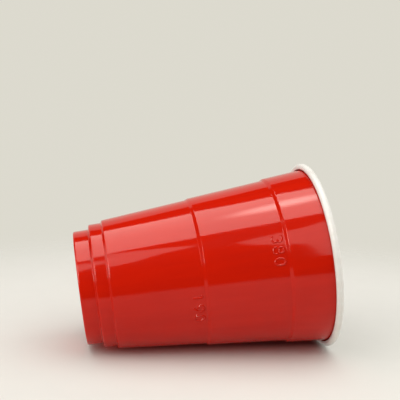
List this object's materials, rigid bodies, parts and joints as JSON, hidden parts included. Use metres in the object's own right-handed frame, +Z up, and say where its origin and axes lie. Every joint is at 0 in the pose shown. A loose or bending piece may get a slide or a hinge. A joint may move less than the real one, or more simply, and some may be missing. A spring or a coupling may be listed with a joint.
{
  "type": "plastic party cup",
  "caption": "Tapered thin-walled disposable cup with a rolled lip, stacking ledges over a raised base and two stepped fill lines.",
  "frame": {"origin": "centre of the circle on which the foot stands", "axes": "+Z up along the cup's axis, from the foot to the open mouth; the cup is round, so X and Y are free"},
  "size_m": [0.095, 0.095, 0.122],
  "materials": {
    "plastic": "glossy red outside, glossy white inside and round the rolled lip"
  },
  "bodies": {
    "root": {"cup": "plastic"}
  },
  "joints": []
}
